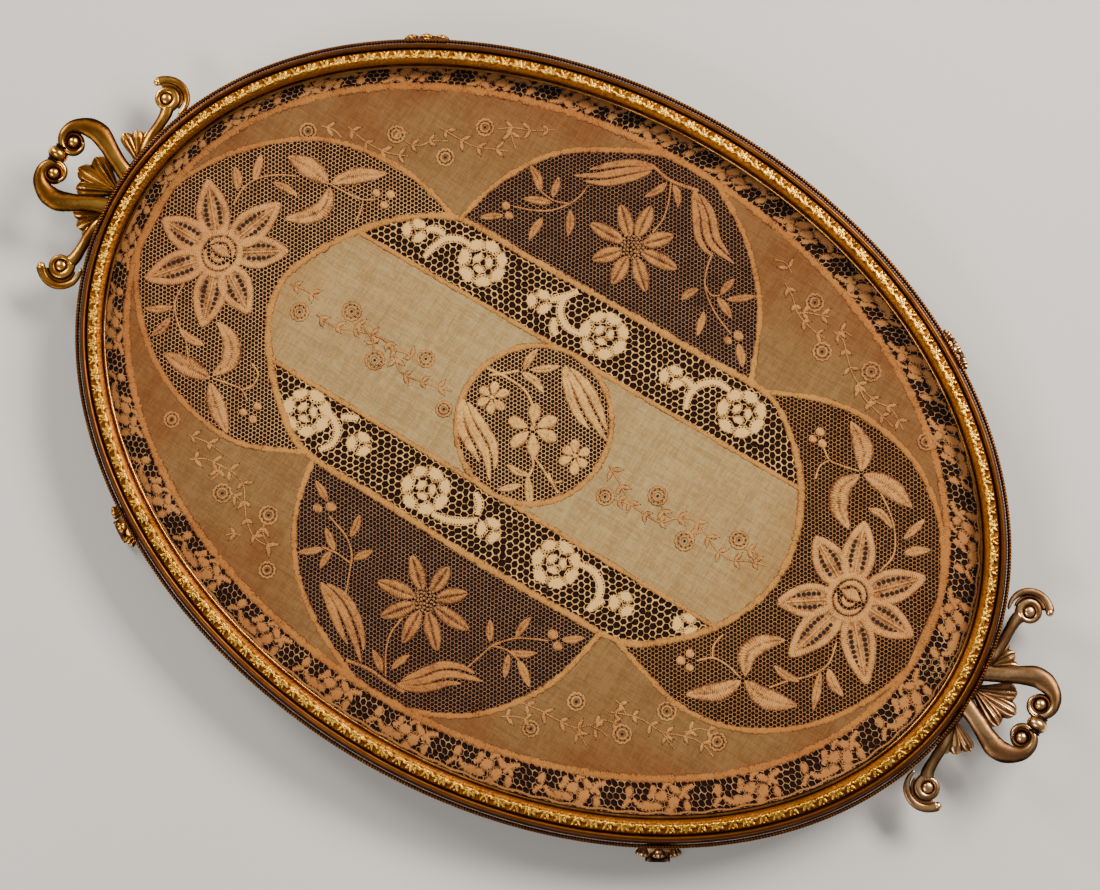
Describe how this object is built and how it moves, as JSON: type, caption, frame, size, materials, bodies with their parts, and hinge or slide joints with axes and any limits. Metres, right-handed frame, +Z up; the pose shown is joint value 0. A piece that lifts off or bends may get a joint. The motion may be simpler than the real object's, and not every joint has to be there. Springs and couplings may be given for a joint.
{
  "type": "lace and glass dresser tray",
  "caption": "Oval gilt brass dresser tray with scroll handles and feet, holding a pieced lace cloth under a clear glass pane.",
  "frame": {"origin": "on the table under the middle of the oval", "axes": "+X along the oval towards one handle, +Y across it, +Z up"},
  "size_m": [0.4386, 0.2798, 0.0264],
  "materials": {
    "brown_gilt": "gilt brass gone brown in the hollows",
    "gilt": "burnished gilt brass",
    "worn_brass": "worn gilt casting, coppery where rubbed",
    "sheet_brass": "dull rolled sheet",
    "screw_steel": "turned steel, dulled",
    "glass": "clear polished plate",
    "net": "cotton net with satin stitch",
    "linen": "fine plain weave, embroidered",
    "cream_lace": "bobbin lace insertion",
    "edging_lace": "bobbin lace edging",
    "velvet": "dark pile",
    "board": "plain board"
  },
  "bodies": {
    "root": {"rim_moulding": "brown_gilt", "edge_bead": "gilt", "round_bead": "gilt", "floral_band": "gilt", "inner_bead": "gilt", "glass_pane": "glass", "velvet_lining": "velvet", "backing_board": "board", "back_cover": "sheet_brass", "lace_edging": "edging_lace", "lace_end_net_right": "net", "lace_end_net_left": "net", "lace_side_net_back": "net", "lace_side_net_front": "net", "lace_medallion": "net", "lace_filling_back_right": "linen", "lace_filling_back_left": "linen", "lace_filling_front_left": "linen", "lace_filling_front_right": "linen", "lace_field_left": "linen", "lace_field_right": "linen", "lace_insertion_back": "cream_lace", "lace_insertion_front": "cream_lace", "cover_screw_1": "screw_steel", "cover_screw_2": "screw_steel", "cover_screw_3": "screw_steel", "cover_screw_4": "screw_steel", "cover_screw_5": "screw_steel", "cover_screw_6": "screw_steel", "cover_screw_7": "screw_steel", "cover_screw_8": "screw_steel", "foot_back_right": "worn_brass", "foot_screw_back_right": "screw_steel", "foot_back_left": "worn_brass", "foot_screw_back_left": "screw_steel", "foot_front_left": "worn_brass", "foot_screw_front_left": "screw_steel", "foot_front_right": "worn_brass", "foot_screw_front_right": "screw_steel", "handle_palmette_right": "worn_brass", "handle_arm_right_1": "worn_brass", "handle_screw_right_1": "screw_steel", "handle_arm_right_2": "worn_brass", "handle_screw_right_2": "screw_steel", "handle_grip_right": "worn_brass", "handle_palmette_left": "worn_brass", "handle_arm_left_1": "worn_brass", "handle_screw_left_1": "screw_steel", "handle_arm_left_2": "worn_brass", "handle_screw_left_2": "screw_steel", "handle_grip_left": "worn_brass"}
  },
  "joints": []
}
